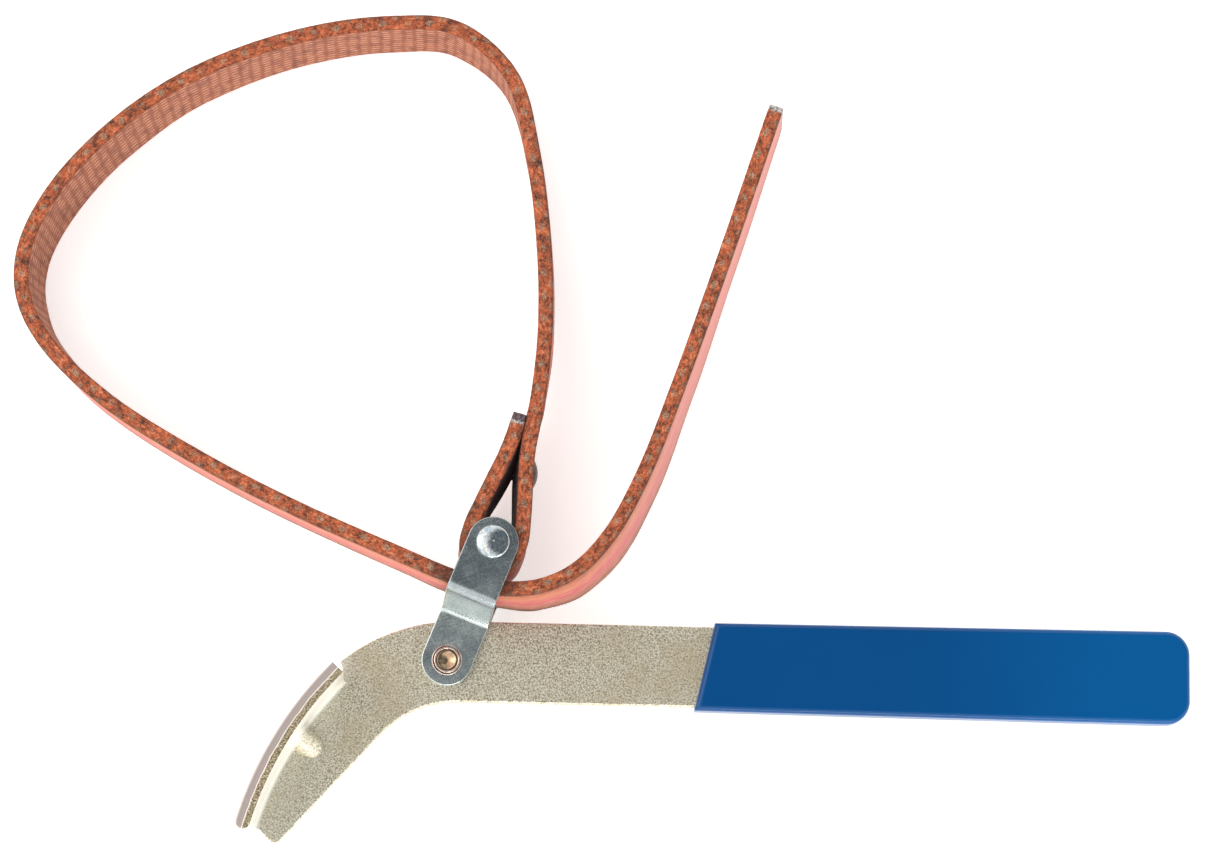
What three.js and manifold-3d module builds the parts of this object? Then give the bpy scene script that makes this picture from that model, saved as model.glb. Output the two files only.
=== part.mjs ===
// Oil filter strap wrench: a flat steel handle whose head carries a turned-up curved flange, a
// grip sleeve on its other end, two links riveted across the handle, and a woven strap that loops
// round the links' pin, out round the filter and back between the links.
//
// Millimetres. X runs along the handle towards the grip, Y towards the strap's loop, and Z up from
// the surface the wrench lies on. Everything is drawn with the links' pivot at X = Y = 0, and the
// last lines centre the wrench on its footprint.
import * as THREE from "three";
import { mergeVertices } from "three/addons/utils/BufferGeometryUtils.js";
import Module from "manifold-3d";

const wasm = await Module();
wasm.setup();

// ---- Driving dimensions ----

const GAP = 0.3; // left between two pieces that lie against each other
const FIT = 0.15; // radial clearance of a pin in its hole

// Handle: 20 x 4 mm flat bar
const STEEL = 4;
const BAR_WIDTH = 20.2;
const BAR_BOTTOM = 3.3;
const BAR_TOP = BAR_BOTTOM + STEEL;
const BAR_END = 186.2; // far end, inside the grip
const BAR_END_RADIUS = 5;

// Head: its outer edge and its hollow edge are arcs tangent to the bar's two straight edges
const HEAD_ARC = { x: 3, radius: 46, end: 130.3 };
const HOLLOW_ARC = { x: 3, radius: 26, end: 138.6 };
const HEAD_TIP = new THREE.Vector2(-41, -46.9);
const TIP_ROUNDING = 1.6;

// Flange: stands on an arc about its own centre, which the plate meets in a bend
const FLANGE = { x: 39, y: -67.85, radius: 93.6, start: 136.03, end: 164.1, height: 20 };
const FLANGE_SHEET = 3.75; // drawn a little thinner than the bar by the bending
const FLANGE_INNER = FLANGE.radius - FLANGE_SHEET;
const BEND_RADIUS = 2.2; // inside of the bend
const BEND_LINE = FLANGE_INNER - BEND_RADIUS;
const PLATE_END_ANGLE = 163.15; // where the plate's cut corner leaves the bend
const SLIT = { angle: 135.84, radius: 90.1, end: 0.4 }; // relief slit beside the flange, and its blind end's width
const GUSSET = { angle: 147.7, radius: 2.8, reach: 8.6, crown: 1.9, dent: 4.4 };

// Grip: a dipped sleeve round the bar
const GRIP = { bottom: 1.9, top: 8.7, end: 187.3, corner: 6, edge: 1.1 };

// Links and their two pins
const LINK_ANGLE = THREE.MathUtils.degToRad(68.9);
const LINK_LENGTH = 29.5;
const LINK_RADIUS = 6.4;
const LINK_SHEET = 1.5;
const REAR_LINK_BOTTOM = 1.5;
const FRONT_LINK_LOW = BAR_TOP + GAP;
const FRONT_LINK_HIGH = 24;
const FRONT_LINK_TOP = FRONT_LINK_HIGH + LINK_SHEET;
const JOGGLE = { start: 12.4, end: 15.3, bend: 1.9 };
const PIVOT_SHANK = 2.4;
const PIN_SHANK = 2.9;
const BUSH_RADIUS = 4.4;

// Strap
const STRAP_WIDTH = 20;
const STRAP_THICKNESS = 3.6;
const STRAP_TOP = 23.5;
const STRAP_DROOP = 3.1; // how far the free loop and tail sink on to the surface
const STEPS_PER_POINT = 4;
const PINCH = { left: 1.9, right: 0.9, reach: 11 }; // how far the rivet draws each leg in
const RIVET = { x: 15.3, y: 47, turn: -3, shank: 1.8, head: 4.2, dome: 1.5 };
const WASHER = { x: 11, y: 47.2, turn: -25, radius: 3.6, thickness: 0.5 };

const PIN = new THREE.Vector2(Math.cos(LINK_ANGLE), Math.sin(LINK_ANGLE)).multiplyScalar(LINK_LENGTH);

// Centre of the strap's upper edge from its sewn-in end to its free tail: X, Y, and how far the
// upper edge leans to the left of the lower one.
const STRAP_ROUTE = [
  [16.8, 60.6, 0],
  [15.5, 55.9, 0],
  [13.0, 49.7, 0],
  [10.1, 43.5, 0],
  [7.3, 37.3, 0],
  [5.2, 32.2, 0],
  [4.2, 26.6, 0],
  [6.3, 22.7, 0],
  [10.6, 20.9, 0],
  [14.9, 22.6, 0],
  [17.6, 27.5, 0],
  [18.4, 34.0, 0],
  [18.5, 40.0, 0],
  [18.6, 45.5, 0],
  [19.0, 51.0, 0],
  [20.0, 57.5, 0.2],
  [21.3, 66.0, 0.6],
  [22.6, 81.9, 0.9],
  [22.1, 102.4, 1.1],
  [18.5, 128.4, 1.2],
  [11.9, 148.1, 0.7],
  [-1.5, 159.6, -0.4],
  [-18.3, 160.9, -0.8],
  [-40.6, 156.8, -1.1],
  [-66.4, 146.4, -1.7],
  [-86.0, 132.8, -2.6],
  [-101.2, 115.7, -3.1],
  [-108.2, 100.5, -3.0],
  [-108.2, 88.4, -3.0],
  [-102.2, 76.8, -2.0],
  [-87.1, 62.4, -1.3],
  [-62.2, 47.3, -1.0],
  [-36.8, 34.6, -0.9],
  [-11.7, 24.0, -0.6],
  [1.0, 19.0, -0.3],
  [12.0, 16.4, 0.3],
  [22.5, 17.2, 1.6],
  [31.5, 21.6, 2.8],
  [39.6, 30.5, 3.4],
  [47.7, 46.0, 3.2],
  [57.2, 71.6, 2.6],
  [68.4, 104.9, 1.9],
  [80.4, 142.2, 1.4],
];
const LEG_POINTS = { left: 5, right: 17 }; // route points that end the left leg and the right one

// ---- Solids and their geometry ----

function solidOf(geometry) {
  const bare = geometry.clone();
  for (const name of Object.keys(bare.attributes)) {
    if (name !== "position") bare.deleteAttribute(name);
  }
  const merged = mergeVertices(bare, 1e-4);
  return new wasm.Manifold(
    new wasm.Mesh({
      numProp: 3,
      vertProperties: new Float32Array(merged.attributes.position.array),
      triVerts: new Uint32Array(merged.index.array),
    }),
  );
}

function geometryOf(solid) {
  const mesh = solid.getMesh();
  const geometry = new THREE.BufferGeometry();
  geometry.setAttribute("position", new THREE.Float32BufferAttribute(mesh.vertProperties, 3));
  geometry.setIndex(Array.from(mesh.triVerts));
  const faceted = geometry.toNonIndexed();
  faceted.computeVertexNormals();
  return faceted;
}

function named(name, geometry, look) {
  const mesh = new THREE.Mesh(geometry, new THREE.MeshStandardMaterial(look));
  mesh.name = name;
  return mesh;
}

const radians = THREE.MathUtils.degToRad;

// A flat plate with the given outline, from one height to another.
function plate(outline, bottom, top, curveSegments = 24) {
  const geometry = new THREE.ExtrudeGeometry(outline, {
    depth: top - bottom,
    bevelEnabled: false,
    curveSegments,
  });
  return geometry.translate(0, 0, bottom);
}

// A turned piece about the Z axis; the profile's points are [radius, height], going up the outside.
function turned(profile, segments = 40) {
  const points = profile.map(([radius, height]) => new THREE.Vector2(radius, height));
  return new THREE.LatheGeometry(points, segments).rotateX(Math.PI / 2);
}

// Points on an arc of a profile or an outline, both ends included.
function arcPoints(x, y, radius, from, to, steps) {
  return Array.from({ length: steps + 1 }, (_, i) => {
    const angle = radians(from + ((to - from) * i) / steps);
    return [x + radius * Math.cos(angle), y + radius * Math.sin(angle)];
  });
}

function cylinder(x, y, radius, bottom, top) {
  const geometry = new THREE.CylinderGeometry(radius, radius, top - bottom, 40).rotateX(Math.PI / 2);
  return geometry.translate(x, y, (top + bottom) / 2);
}

// A slot shape with round ends about two points on the X axis.
function stadium(from, to, radius) {
  const outline = new THREE.Shape();
  outline.absarc(to, 0, radius, -Math.PI / 2, Math.PI / 2, false);
  outline.absarc(from, 0, radius, Math.PI / 2, (3 * Math.PI) / 2, false);
  return outline;
}

// ---- Handle ----

function onFlange(radius, angle) {
  return new THREE.Vector2(
    FLANGE.x + radius * Math.cos(radians(angle)),
    FLANGE.y + radius * Math.sin(radians(angle)),
  );
}

function handleOutline() {
  const half = BAR_WIDTH / 2;
  const cornerX = BAR_END - BAR_END_RADIUS;
  const cornerY = half - BAR_END_RADIUS;
  const hollowY = -half - HOLLOW_ARC.radius;
  const slitEnd = onFlange(SLIT.radius, SLIT.angle);
  const slitCorner = onFlange(SLIT.radius, SLIT.angle + SLIT.end);
  const hollowEnd = new THREE.Vector2(
    HOLLOW_ARC.x + HOLLOW_ARC.radius * Math.cos(radians(HOLLOW_ARC.end)),
    hollowY + HOLLOW_ARC.radius * Math.sin(radians(HOLLOW_ARC.end)),
  );
  const plateEnd = onFlange(BEND_LINE, PLATE_END_ANGLE);
  const intoTip = plateEnd.clone().sub(HEAD_TIP).setLength(TIP_ROUNDING).add(HEAD_TIP);
  const outOfTip = hollowEnd.clone().sub(HEAD_TIP).setLength(TIP_ROUNDING).add(HEAD_TIP);

  const outline = new THREE.Shape();
  outline.moveTo(HOLLOW_ARC.x, -half);
  outline.lineTo(cornerX, -half);
  outline.absarc(cornerX, -cornerY, BAR_END_RADIUS, -Math.PI / 2, 0, false);
  outline.absarc(cornerX, cornerY, BAR_END_RADIUS, 0, Math.PI / 2, false);
  outline.lineTo(HEAD_ARC.x, half);
  outline.absarc(HEAD_ARC.x, half - HEAD_ARC.radius, HEAD_ARC.radius, Math.PI / 2, radians(HEAD_ARC.end), false);
  outline.lineTo(slitEnd.x, slitEnd.y);
  outline.lineTo(slitCorner.x, slitCorner.y);
  outline.absarc(
    FLANGE.x,
    FLANGE.y,
    BEND_LINE,
    radians(FLANGE.start),
    radians(PLATE_END_ANGLE),
    false,
  );
  outline.lineTo(intoTip.x, intoTip.y);
  outline.quadraticCurveTo(HEAD_TIP.x, HEAD_TIP.y, outOfTip.x, outOfTip.y);
  outline.lineTo(hollowEnd.x, hollowEnd.y);
  outline.absarc(HOLLOW_ARC.x, hollowY, HOLLOW_ARC.radius, radians(HOLLOW_ARC.end), Math.PI / 2, true);
  return outline;
}

// The flange and its bend: an L section turned about the flange's centre, of which only the
// stretch between the relief slit and the rounded lower end is kept.
function flange() {
  const top = BAR_BOTTOM + FLANGE.height;
  const overlap = BEND_LINE - 1.5;
  const outerBend = BEND_RADIUS + FLANGE_SHEET;
  const section = [
    [overlap, BAR_BOTTOM],
    ...arcPoints(BEND_LINE, BAR_BOTTOM + outerBend, outerBend, -90, 0, 6),
    [FLANGE.radius, top],
    [FLANGE_INNER, top],
    ...arcPoints(BEND_LINE, BAR_TOP + BEND_RADIUS, BEND_RADIUS, 0, -90, 4),
    [overlap, BAR_TOP],
    [overlap, BAR_BOTTOM],
  ];
  const ring = solidOf(turned(section, 240).translate(FLANGE.x, FLANGE.y, 0));

  const start = onFlange(overlap - 1, FLANGE.start);
  const capRadius = FLANGE_SHEET / 2;
  const capCentre = onFlange(FLANGE.radius - capRadius, FLANGE.end);
  const footprint = new THREE.Shape();
  footprint.moveTo(start.x, start.y);
  footprint.absarc(FLANGE.x, FLANGE.y, FLANGE.radius + 1, radians(FLANGE.start), radians(FLANGE.end), false);
  footprint.absarc(capCentre.x, capCentre.y, capRadius, radians(FLANGE.end), radians(FLANGE.end + 180), false);
  footprint.absarc(FLANGE.x, FLANGE.y, FLANGE_INNER, radians(FLANGE.end), radians(PLATE_END_ANGLE), true);
  footprint.absarc(FLANGE.x, FLANGE.y, overlap - 1, radians(PLATE_END_ANGLE), radians(FLANGE.start), true);
  return ring.intersect(solidOf(plate(footprint, 0, top + 1, 32)));
}

// A bar with round ends that leans at 45 degrees across the bend, at a distance from its corner.
function gussetBar(offset, radius) {
  const centre = onFlange(FLANGE_INNER - offset, GUSSET.angle);
  const geometry = new THREE.CapsuleGeometry(radius, GUSSET.reach, 5, 16);
  geometry.rotateZ(-Math.PI / 4);
  geometry.rotateX(Math.PI / 2);
  geometry.rotateZ(radians(GUSSET.angle));
  return solidOf(geometry.translate(centre.x, centre.y, BAR_TOP + offset));
}

function handleBar() {
  const body = solidOf(plate(handleOutline(), BAR_BOTTOM, BAR_TOP))
    .add(flange())
    .add(gussetBar(GUSSET.crown, GUSSET.radius))
    .subtract(gussetBar(-GUSSET.dent, GUSSET.radius * 0.7));
  return geometryOf(body.subtract(solidOf(cylinder(0, 0, PIVOT_SHANK + FIT, 0, 20))));
}

// ---- Grip ----

function gripOutline() {
  const { end, corner } = GRIP;
  const outline = new THREE.Shape();
  outline.moveTo(62.2, -11.2);
  outline.lineTo(end - corner, -12.1);
  outline.absarc(end - corner, -12.1 + corner, corner, -Math.PI / 2, 0, false);
  outline.absarc(end - corner, 11.5 - corner, corner, 0, Math.PI / 2, false);
  outline.lineTo(67.2, 11.1);
  return outline;
}

function gripCavity() {
  const half = BAR_WIDTH / 2 + GAP;
  const end = BAR_END + GAP;
  const corner = BAR_END_RADIUS;
  const outline = new THREE.Shape();
  outline.moveTo(50, -half);
  outline.lineTo(end - corner, -half);
  outline.absarc(end - corner, corner - half, corner, -Math.PI / 2, 0, false);
  outline.absarc(end - corner, half - corner, corner, 0, Math.PI / 2, false);
  outline.lineTo(50, half);
  return solidOf(plate(outline, BAR_BOTTOM - GAP, BAR_TOP + GAP, 8));
}

function gripSleeve() {
  const { bottom, top, edge } = GRIP;
  const outer = new THREE.ExtrudeGeometry(gripOutline(), {
    depth: top - bottom - 2 * edge,
    bevelThickness: edge,
    bevelSize: edge,
    bevelOffset: -edge,
    bevelSegments: 3,
    curveSegments: 8,
  });
  return geometryOf(solidOf(outer.translate(0, 0, bottom + edge)).subtract(gripCavity()));
}

// ---- Links, drawn along X from the pivot to the strap pin ----

function linkBlank(bottom, top) {
  return solidOf(plate(stadium(0, LINK_LENGTH, LINK_RADIUS), bottom, top, 20));
}

function drilled(blank) {
  return blank
    .subtract(solidOf(cylinder(0, 0, PIVOT_SHANK + FIT, 0, 30)))
    .subtract(solidOf(cylinder(LINK_LENGTH, 0, PIN_SHANK + FIT, 0, 30)));
}

function rearLink() {
  return geometryOf(drilled(linkBlank(REAR_LINK_BOTTOM, REAR_LINK_BOTTOM + LINK_SHEET)));
}

// The sheet's middle line as seen from its edge: low, up the joggle, then high, with round bends.
function joggleLine() {
  const low = FRONT_LINK_LOW + LINK_SHEET / 2;
  const high = FRONT_LINK_HIGH + LINK_SHEET / 2;
  const wall = Math.atan2(high - low, JOGGLE.end - JOGGLE.start);
  const cut = JOGGLE.bend * Math.tan(wall / 2);
  const turn = THREE.MathUtils.radToDeg(wall);
  return [
    [-LINK_RADIUS - 1, low],
    ...arcPoints(JOGGLE.start - cut, low + JOGGLE.bend, JOGGLE.bend, -90, turn - 90, 5),
    ...arcPoints(JOGGLE.end + cut, high - JOGGLE.bend, JOGGLE.bend, turn + 90, 90, 5),
    [LINK_LENGTH + LINK_RADIUS + 1, high],
  ].map(([x, z]) => new THREE.Vector2(x, z));
}

// Both sides of a line at half the sheet's thickness, as one closed outline.
function thickened(line, thickness) {
  const side = (sign) =>
    line.map((point, i) => {
      const before = line[Math.max(i - 1, 0)];
      const after = line[Math.min(i + 1, line.length - 1)];
      const along = after.clone().sub(before).normalize();
      return new THREE.Vector2(-along.y, along.x).multiplyScalar((sign * thickness) / 2).add(point);
    });
  return new THREE.Shape([...side(-1), ...side(1).reverse()]);
}

function frontLink() {
  const width = 2 * LINK_RADIUS + 2;
  const strip = new THREE.ExtrudeGeometry(thickened(joggleLine(), LINK_SHEET), {
    depth: width,
    bevelEnabled: false,
  });
  strip.rotateX(Math.PI / 2).translate(0, width / 2, 0);
  return geometryOf(drilled(solidOf(strip).intersect(linkBlank(0, 30))));
}

// Semi-tubular rivet: a low head below the rear link, and a rolled lip round a dished bore on top.
function pivotRivet() {
  const seat = FRONT_LINK_LOW + LINK_SHEET;
  return turned([
    [0, 0],
    [2.2, 0],
    [3.6, 0.5],
    [4.2, REAR_LINK_BOTTOM],
    [PIVOT_SHANK, REAR_LINK_BOTTOM],
    [PIVOT_SHANK, seat],
    [3.5, seat],
    [3.5, seat + 0.4],
    [3.2, seat + 0.9],
    [2.8, seat + 0.95],
    [2.4, seat + 0.5],
    [2.2, seat + 0.1],
    [1.2, seat - 0.3],
    [0, seat - 0.5],
  ]);
}

// Shouldered strap pin: a peened end below the rear link and a polished dome on the front one.
function strapPin() {
  const dome = arcPoints(0, FRONT_LINK_TOP - 4.1, 6.3, 45.3, 90, 6);
  return turned([
    [0, 0.3],
    [2.9, 0.3],
    [3.8, 0.9],
    [3.9, REAR_LINK_BOTTOM],
    [PIN_SHANK, REAR_LINK_BOTTOM],
    [PIN_SHANK, FRONT_LINK_TOP],
    [4.43, FRONT_LINK_TOP],
    ...dome.slice(0, -1),
    [0, dome.at(-1)[1]],
  ]);
}

function pinBush() {
  const bottom = REAR_LINK_BOTTOM + LINK_SHEET + 0.2;
  const top = FRONT_LINK_HIGH - 0.2;
  const bore = PIN_SHANK + FIT;
  return turned([
    [bore, bottom],
    [BUSH_RADIUS, bottom],
    [BUSH_RADIUS, top],
    [bore, top],
    [bore, bottom],
  ]);
}

// ---- Strap ----

// How far the strap has sunk at a distance from the pin that holds it.
function droop(distance) {
  return STRAP_DROOP * THREE.MathUtils.smoothstep(distance, 25, 85);
}

// How far the rivet draws a leg in at its middle.
function pinchAt(pointNumber, x, y) {
  const depth = pointNumber < LEG_POINTS.left ? PINCH.left : PINCH.right;
  const away = Math.hypot(x - RIVET.x, y - RIVET.y) - 4;
  const fade = Math.exp(-((Math.max(away, 0) / PINCH.reach) ** 2));
  return pointNumber > LEG_POINTS.right ? 0 : depth * fade;
}

// The strap's cross section at one place: a ring of points across both faces.
function strapSection(top, along, lean, pinch) {
  const left = new THREE.Vector3(-along.y, along.x, 0).normalize();
  const rise = Math.sqrt(STRAP_WIDTH ** 2 - lean ** 2);
  const up = left.clone().multiplyScalar(lean).setZ(rise).divideScalar(STRAP_WIDTH);
  const out = left.clone().multiplyScalar(rise / STRAP_WIDTH).setZ(-lean / STRAP_WIDTH);
  const across = [1, 0.6, 0.3, 0, -0.3, -0.6, -1];
  const face = (side) =>
    across.map((v) =>
      top
        .clone()
        .addScaledVector(up, ((v - 1) * STRAP_WIDTH) / 2)
        .addScaledVector(out, (side * STRAP_THICKNESS) / 2 + pinch * (1 - v * v)),
    );
  return [...face(1), ...face(-1).reverse()];
}

function strapSections() {
  const at = STRAP_ROUTE.map(([x, y]) => new THREE.Vector3(x, y, 0));
  const path = new THREE.CatmullRomCurve3(at, false, "centripetal");
  const leans = new THREE.SplineCurve(STRAP_ROUTE.map(([, , lean], i) => new THREE.Vector2(i, lean)));
  const last = STRAP_ROUTE.length - 1;
  const steps = last * STEPS_PER_POINT;
  return Array.from({ length: steps + 1 }, (_, i) => {
    const t = i / steps;
    const top = path.getPoint(t);
    const pinch = pinchAt(t * last, top.x, top.y);
    top.z = STRAP_TOP - droop(Math.hypot(top.x - PIN.x, top.y - PIN.y));
    return strapSection(top, path.getTangent(t), leans.getPoint(t).y, pinch);
  });
}

// One closed body from rings of points, each with the same number of points.
function lofted(rings) {
  const count = rings[0].length;
  const positions = rings.flat().flatMap((point) => point.toArray());
  const index = [];
  for (let i = 0; i + 1 < rings.length; i++) {
    for (let j = 0; j < count; j++) {
      const a = i * count + j;
      const b = i * count + ((j + 1) % count);
      index.push(a, a + count, b, b, a + count, b + count);
    }
  }
  const lastRing = (rings.length - 1) * count;
  for (let j = 0; j < count / 2 - 1; j++) {
    const [a, b, c, d] = [j, j + 1, count - 2 - j, count - 1 - j];
    index.push(a, b, c, a, c, d);
    index.push(lastRing + a, lastRing + c, lastRing + b, lastRing + a, lastRing + d, lastRing + c);
  }
  const geometry = new THREE.BufferGeometry();
  geometry.setAttribute("position", new THREE.Float32BufferAttribute(positions, 3));
  geometry.setIndex(index);
  return geometry;
}

// Turns a piece made along Z so that it points along X, turned in plan, at the strap's mid height.
function acrossStrap(geometry, { x, y, turn }) {
  const middle = STRAP_TOP - STRAP_WIDTH / 2 - droop(Math.hypot(x - PIN.x, y - PIN.y));
  return geometry.rotateY(Math.PI / 2).rotateZ(radians(turn)).translate(x, y, middle);
}

function strap() {
  const hole = acrossStrap(cylinder(0, 0, RIVET.shank + GAP, -12, 12), RIVET);
  return geometryOf(solidOf(lofted(strapSections())).subtract(solidOf(hole)));
}

// Rivet through both legs; its head lies on the right leg and its tail is clenched over the washer,
// in line with the left leg.
function strapRivet() {
  const seat = 4.7;
  const shankEnd = -4.3;
  const curve = (RIVET.head ** 2 + RIVET.dome ** 2) / (2 * RIVET.dome);
  const edge = THREE.MathUtils.radToDeg(Math.acos(RIVET.head / curve));
  const dome = arcPoints(0, seat + RIVET.dome - curve, curve, edge, 90, 6);
  const body = turned([
    [0, shankEnd],
    [RIVET.shank, shankEnd],
    [RIVET.shank, seat],
    ...dome.slice(0, -1),
    [0, seat + RIVET.dome],
  ]);
  const clench = turned([
    [0, -1],
    [1.7, -1],
    [2.6, -0.7],
    [2.7, -0.4],
    [1.7, -0.4],
    [1.7, 0.5],
    [0, 0.5],
  ]);
  return geometryOf(solidOf(acrossStrap(body, RIVET)).add(solidOf(acrossStrap(clench, WASHER))));
}

function strapWasher() {
  const bore = RIVET.shank + 0.6;
  const half = WASHER.thickness / 2;
  return acrossStrap(
    turned([
      [bore, -half],
      [WASHER.radius, -half],
      [WASHER.radius, half],
      [bore, half],
      [bore, -half],
    ]),
    WASHER,
  );
}

// ---- Assembly ----

const ZINC = { color: 0x9a9a8e, roughness: 0.45, metalness: 0.9 };
const BRIGHT_ZINC = { color: 0x7f8c92, roughness: 0.3, metalness: 0.9 };
const BLUE_VINYL = { color: 0x004f8c, roughness: 0.2, metalness: 0 };
const COPPER = { color: 0xc99a72, roughness: 0.3, metalness: 1 };
const POLISHED = { color: 0xc4ccd0, roughness: 0.08, metalness: 1 };
const DARK_STEEL = { color: 0x2a2826, roughness: 0.5, metalness: 0.8 };
const WEBBING = { color: 0xb5603c, roughness: 0.9, metalness: 0 };

const links = new THREE.Group();
links.rotation.z = LINK_ANGLE;
links.add(
  named("front_link", frontLink(), BRIGHT_ZINC),
  named("rear_link", rearLink(), BRIGHT_ZINC),
  named("strap_pin", strapPin().translate(LINK_LENGTH, 0, 0), POLISHED),
  named("pin_bush", pinBush().translate(LINK_LENGTH, 0, 0), BRIGHT_ZINC),
);

const pieces = new THREE.Group();
pieces.add(
  named("handle_bar", handleBar(), ZINC),
  named("grip_sleeve", gripSleeve(), BLUE_VINYL),
  named("pivot_rivet", pivotRivet(), COPPER),
  links,
  named("strap", strap(), WEBBING),
  named("strap_rivet", strapRivet(), DARK_STEEL),
  named("strap_washer", strapWasher(), DARK_STEEL),
);

const wrench = new THREE.Group();
wrench.add(pieces);
const bounds = new THREE.Box3().setFromObject(pieces, true);
const centre = bounds.getCenter(new THREE.Vector3());
pieces.position.set(-centre.x, -centre.y, -bounds.min.z);

export default wrench;
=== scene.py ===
"""Looks of the oil filter strap wrench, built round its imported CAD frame.

Shapes are drawn in millimetres with the links' pivot at X = Y = 0, and placed by the pivot's rivet.
"""

import math

import bmesh
import bpy
from mathutils import Matrix, Vector, noise


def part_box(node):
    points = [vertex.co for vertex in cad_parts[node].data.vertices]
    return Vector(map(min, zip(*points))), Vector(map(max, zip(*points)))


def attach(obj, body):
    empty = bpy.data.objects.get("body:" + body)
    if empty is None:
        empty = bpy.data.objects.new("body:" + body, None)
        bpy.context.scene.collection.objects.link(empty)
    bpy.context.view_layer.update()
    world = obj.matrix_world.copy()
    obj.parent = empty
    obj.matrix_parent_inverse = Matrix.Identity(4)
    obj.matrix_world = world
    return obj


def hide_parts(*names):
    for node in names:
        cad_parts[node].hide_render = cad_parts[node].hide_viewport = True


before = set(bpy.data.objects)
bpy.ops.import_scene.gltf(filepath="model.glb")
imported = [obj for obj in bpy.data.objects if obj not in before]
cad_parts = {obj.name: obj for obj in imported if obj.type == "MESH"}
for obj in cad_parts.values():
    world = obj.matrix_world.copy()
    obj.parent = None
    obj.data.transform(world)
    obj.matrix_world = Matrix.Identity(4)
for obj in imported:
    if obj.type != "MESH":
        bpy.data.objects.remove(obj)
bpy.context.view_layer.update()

MM = 0.001


def centre_of(node):
    low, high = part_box(node)
    return (low + high) / 2 / MM


PIVOT = centre_of("pivot_rivet") * Vector((1, 1, 0))
PIN = centre_of("strap_pin") * Vector((1, 1, 0)) - PIVOT


# ---- Meshes ----


def piece(name, points, faces, looks, slots=None):
    """A mesh object from points in millimetres, with a material for each face's slot number."""
    mesh = bpy.data.meshes.new(name)
    mesh.from_pydata([(Vector(p) + PIVOT) * MM for p in points], [], faces)
    for look in looks:
        mesh.materials.append(look)
    if slots:
        mesh.polygons.foreach_set("material_index", slots)
    mesh.validate()
    mesh.update()
    obj = bpy.data.objects.new(name, mesh)
    bpy.context.scene.collection.objects.link(obj)
    return obj


def tidied(obj, gap=0.004):
    """Merges points that coincide, drops faces with no area, and turns every face outward."""
    mesh = bmesh.new()
    mesh.from_mesh(obj.data)
    bmesh.ops.remove_doubles(mesh, verts=mesh.verts, dist=gap * MM)
    bmesh.ops.dissolve_degenerate(mesh, edges=mesh.edges, dist=gap * MM / 4)
    bmesh.ops.recalc_face_normals(mesh, faces=mesh.faces)
    mesh.to_mesh(obj.data)
    mesh.free()
    return obj


def combined(obj, tool, operation):
    """obj after a boolean with the tool object, which is used up."""
    modifier = obj.modifiers.new("boolean", "BOOLEAN")
    modifier.operation = operation
    modifier.solver = "EXACT"
    modifier.object = tool
    bpy.context.view_layer.update()
    graph = bpy.context.evaluated_depsgraph_get()
    mesh = bpy.data.meshes.new_from_object(obj.evaluated_get(graph))
    obj.modifiers.clear()
    obj.data = mesh
    bpy.data.objects.remove(tool)
    return obj


def smoothed(obj, angle=35, weighted=True):
    """Smooth shading that keeps edges sharper than the angle and large flat faces flat."""
    obj.data.polygons.foreach_set("use_smooth", [True] * len(obj.data.polygons))
    obj.data.set_sharp_from_angle(angle=math.radians(angle))
    if weighted:
        modifier = obj.modifiers.new("flat_faces", "WEIGHTED_NORMAL")
        modifier.keep_sharp = True
        modifier.weight = 90
    return obj


def arc(x, y, radius, start, end, steps):
    angles = [math.radians(start + (end - start) * i / steps) for i in range(steps + 1)]
    return [Vector((x + radius * math.cos(a), y + radius * math.sin(a))) for a in angles]


def without_repeats(points):
    return [p for i, p in enumerate(points) if (p - points[i - 1]).length > 1e-4]


def ring_faces(rings, count):
    """Four-cornered faces between rings that each have the same number of points."""
    return [
        (r * count + i, r * count + (i + 1) % count, (r + 1) * count + (i + 1) % count, (r + 1) * count + i)
        for r in range(rings - 1)
        for i in range(count)
    ]


def line_points(start, end, step):
    """Points along a straight side, both ends left out."""
    count = max(int((end - start).length / step), 1)
    return [start.lerp(end, i / count) for i in range(1, count)]


def offset_normals(outline):
    """Outward mitred normal of each corner of a counter-clockwise outline."""
    normals = []
    for i, point in enumerate(outline):
        before = (point - outline[i - 1]).normalized()
        after = (outline[(i + 1) % len(outline)] - point).normalized()
        n1 = Vector((before.y, -before.x))
        n2 = Vector((after.y, -after.x))
        normals.append((n1 + n2) / max(1 + n1.dot(n2), 0.35))
    return normals


def plate(name, outline, bottom, top, rounding, looks, steps=3):
    """A flat plate with rounded edges; rounding is how far the round goes in and down."""
    outline = without_repeats(outline)
    normals = offset_normals(outline)
    turns = [math.radians(90 * i / steps) for i in range(steps + 1)]
    rings = [(rounding * (math.sin(t) - 1), bottom + rounding * (1 - math.cos(t))) for t in turns]
    rings += [(rounding * (math.cos(t) - 1), top - rounding * (1 - math.sin(t))) for t in turns]
    count = len(outline)
    points = [(p.x + n.x * out, p.y + n.y * out, z) for out, z in rings for p, n in zip(outline, normals)]
    faces = ring_faces(len(rings), count)
    last = (len(rings) - 1) * count
    faces.append(tuple(reversed(range(count))))
    faces.append(tuple(range(last, last + count)))
    return piece(name, points, faces, looks)


def turned(name, profile, looks, segments=96, place=None):
    """A turned piece; the profile's points are (radius, height), going up the outside."""
    rings = []
    for radius, height in profile:
        ring = [
            Vector((radius * math.cos(a), radius * math.sin(a), height))
            for a in (2 * math.pi * i / segments for i in range(segments))
        ]
        rings.append([place @ p for p in ring] if place else ring)
    points = [p for ring in rings for p in ring]
    return tidied(piece(name, points, ring_faces(len(profile), segments), looks))


def rod(x, y, radius, bottom, top):
    profile = [(0, bottom), (radius, bottom), (radius, top), (0, top)]
    return turned("rod", profile, [], 64, Matrix.Translation((x, y, 0)))


# ---- Materials ----


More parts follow.
